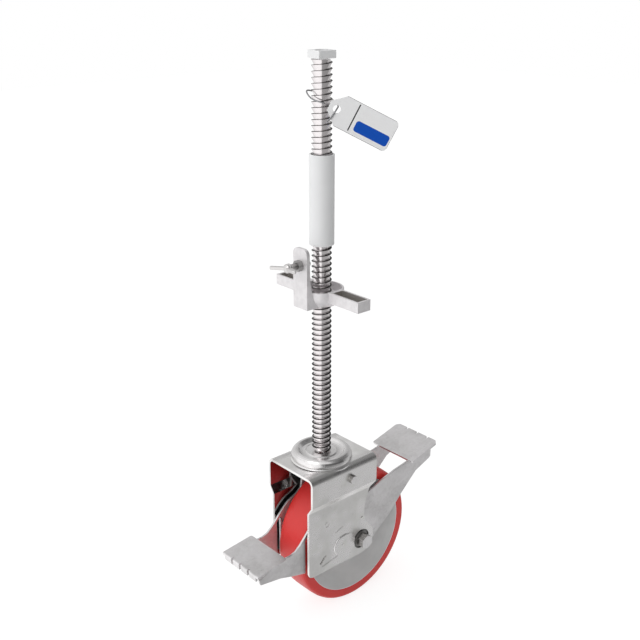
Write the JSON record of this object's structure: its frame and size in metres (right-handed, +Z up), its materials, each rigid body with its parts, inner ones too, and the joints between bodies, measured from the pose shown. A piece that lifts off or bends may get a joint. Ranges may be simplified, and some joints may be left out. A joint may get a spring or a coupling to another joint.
{
  "type": "scaffold castor",
  "caption": "Braked swivel scaffold castor with a threaded spindle, adjusting nut, clamp screw and swing tag.",
  "frame": {"origin": "on the spindle's axis where the stem leaves the swivel head", "axes": "+Z up the spindle; +X towards the side the wheel trails to, where the rear pedal is; Y along the axle"},
  "size_m": [0.3375, 0.158, 0.7672],
  "materials": {
    "spindle_steel": "bright zinc plated rolled thread",
    "zinc_sheet": "galvanised pressed sheet",
    "cast_zinc": "plated casting",
    "wing_zinc": "plated casting",
    "bolt_steel": "zinc plated",
    "bearing_steel": "hardened",
    "wire_steel": "bright wire",
    "white_plastic": "smooth moulded",
    "tag_plastic": "smooth sheet",
    "grey_plastic": "smooth moulded",
    "bush_plastic": "smooth moulded",
    "red_tread": "cast polyurethane",
    "seal_rubber": "moulded",
    "pad_rubber": "moulded"
  },
  "bodies": {
    "stem": {"spindle": "spindle_steel", "end_stop": "white_plastic", "sleeve": "white_plastic", "tag": "tag_plastic", "tag_wire": "wire_steel", "bearing_cap": "zinc_sheet", "dust_seal": "seal_rubber", "upper_balls": "bearing_steel", "lower_balls": "bearing_steel", "lower_race": "bearing_steel"},
    "fork_body": {"fork": "zinc_sheet", "cross_pin": "bolt_steel", "return_spring": "wire_steel", "axle_bolt": "bolt_steel", "axle_nut": "bolt_steel", "axle_washers": "bolt_steel", "axle_tube": "bolt_steel", "pivot_bushes": "bolt_steel"},
    "wheel": {"wheel_core": "grey_plastic", "tread": "red_tread", "hub_bushes": "bush_plastic"},
    "brake_rocker": {"brake_plate_near": "zinc_sheet", "brake_plate_far": "zinc_sheet", "front_pedal": "zinc_sheet", "rear_pedal": "zinc_sheet", "push_bar": "bolt_steel"},
    "brake_shoe": {"brake_lever": "zinc_sheet", "brake_pad": "pad_rubber"},
    "nut_body": {"adjusting_nut": "cast_zinc", "clamp_nut": "bolt_steel"},
    "clamp_screw": {"wing_screw": "wing_zinc"}
  },
  "joints": [
    {"name": "swivel", "type": "hinge", "parent": "stem", "child": "fork_body", "pos_m": [0, 0, 0], "axis": [0, 0, 1], "continuous": true},
    {"name": "wheel_spin", "type": "hinge", "parent": "fork_body", "child": "wheel", "pos_m": [0.041, 0, -0.14], "axis": [0, 1, 0], "continuous": true},
    {"name": "brake_rock", "type": "hinge", "parent": "fork_body", "child": "brake_rocker", "pos_m": [0.041, 0, -0.14], "axis": [0, 1, 0], "range_deg": [0, 3.6]},
    {"name": "shoe_press", "type": "hinge", "parent": "fork_body", "child": "brake_shoe", "pos_m": [0.0145, 0, -0.031], "axis": [0, 1, 0], "range_deg": [0, 2.75]},
    {"name": "nut_travel", "type": "slide", "parent": "stem", "child": "nut_body", "axis": [0, 0, 1], "range_m": [-0.19, 0.06]},
    {"name": "clamp_travel", "type": "slide", "parent": "nut_body", "child": "clamp_screw", "axis": [1, 0, 0], "range_m": [-0.006, 0.003]}
  ],
  "couplings": [
    {"joint": "shoe_press", "follows": "brake_rock", "ratio": 0.76}
  ]
}
